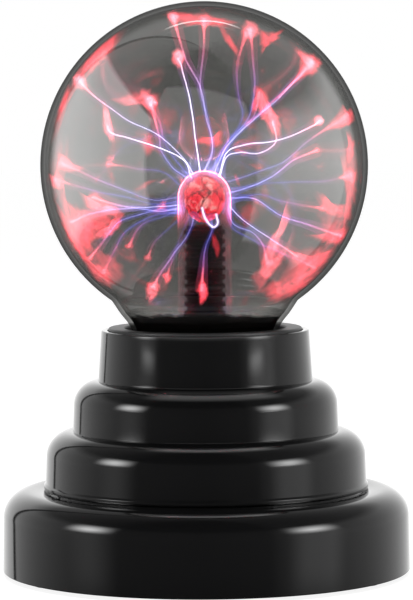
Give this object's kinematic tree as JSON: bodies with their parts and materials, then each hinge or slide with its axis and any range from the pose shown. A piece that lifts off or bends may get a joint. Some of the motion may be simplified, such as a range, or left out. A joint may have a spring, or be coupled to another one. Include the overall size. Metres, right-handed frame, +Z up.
{
  "type": "plasma ball",
  "caption": "Plasma lamp with a sealed glass globe and a central ribbed electrode, on a round stepped gloss base that holds a battery bay, a slide switch and a power socket.",
  "frame": {"origin": "on the table under the middle of the base", "axes": "+Z up through the globe, -Y the side seen in the picture, +Y the power socket"},
  "size_m": [0.1, 0.1, 0.14],
  "materials": {
    "clear_glass": "polished, lightly smoked",
    "gloss_black": "high gloss injection moulding",
    "matte_black": "fine spark texture",
    "sleeve_black": "glossy ribs",
    "electrode_wool": "crumpled conductive wool, lit red by the discharge",
    "rubber": "matte",
    "foam": "closed-cell foam",
    "steel": "nickel plated",
    "brass": "drawn",
    "cell_wrap": "plain printed film, no lettering",
    "board_green": "solder mask",
    "ferrite": "sintered",
    "bobbin": "moulded",
    "copper": "enamelled copper wire, wound flat",
    "winding_tape": "polyester tape over the winding",
    "aluminium": "extruded",
    "capacitor_blue": "shrink sleeve",
    "film_brown": "dipped",
    "red_lead": "wire insulation",
    "black_lead": "wire insulation and moulded cases"
  },
  "bodies": {
    "lamp": {"battery_cell_1": "cell_wrap", "battery_cell_2": "cell_wrap", "battery_cell_3": "cell_wrap", "battery_cell_4": "cell_wrap", "battery_lead_black": "black_lead", "battery_lead_red": "red_lead", "battery_spring_1": "steel", "battery_spring_2": "steel", "battery_spring_3": "steel", "battery_spring_4": "steel", "board_screw_1": "steel", "board_screw_2": "steel", "bottom_cover": "matte_black", "circuit_board": "board_green", "contact_plate_1": "steel", "contact_plate_2": "steel", "contact_plate_3": "steel", "contact_plate_4": "steel", "contact_plate_5": "steel", "electrode_rod": "brass", "electrode_stem": "clear_glass", "electrode_wool": "electrode_wool", "exhaust_tip": "clear_glass", "film_capacitor": "film_brown", "foot_1": "rubber", "foot_2": "rubber", "foot_3": "rubber", "foot_4": "rubber", "globe_envelope": "clear_glass", "heatsink": "aluminium", "high_voltage_lead": "red_lead", "housing_screw_1": "steel", "housing_screw_2": "steel", "housing_screw_3": "steel", "housing_screw_4": "steel", "lower_housing": "gloss_black", "neck_gasket": "foam", "power_transistor": "black_lead", "primary_winding": "copper", "resistor_1": "bobbin", "resistor_2": "bobbin", "retaining_ring": "gloss_black", "ribbed_sleeve": "sleeve_black", "secondary_winding": "winding_tape", "socket_body": "matte_black", "socket_lead": "red_lead", "socket_pin": "steel", "stem_bung": "rubber", "supply_capacitor": "capacitor_blue", "switch_body": "black_lead", "switch_frame": "steel", "switch_lead": "black_lead", "switch_screw_1": "steel", "switch_screw_2": "steel", "transformer_bobbin": "bobbin", "transformer_core_lower": "ferrite", "transformer_core_upper": "ferrite", "upper_housing": "gloss_black"},
    "door": {"battery_door": "matte_black"},
    "knob": {"switch_knob": "matte_black"}
  },
  "joints": [
    {"name": "switch_slide", "type": "slide", "parent": "lamp", "child": "knob", "axis": [0.866, 0.5, 0], "range_m": [0, 0.004]},
    {"name": "door_hinge", "type": "hinge", "parent": "lamp", "child": "door", "pos_m": [-0.0258, -0.006, 0.0007], "axis": [0, 1, 0], "range_deg": [0, 75]}
  ]
}
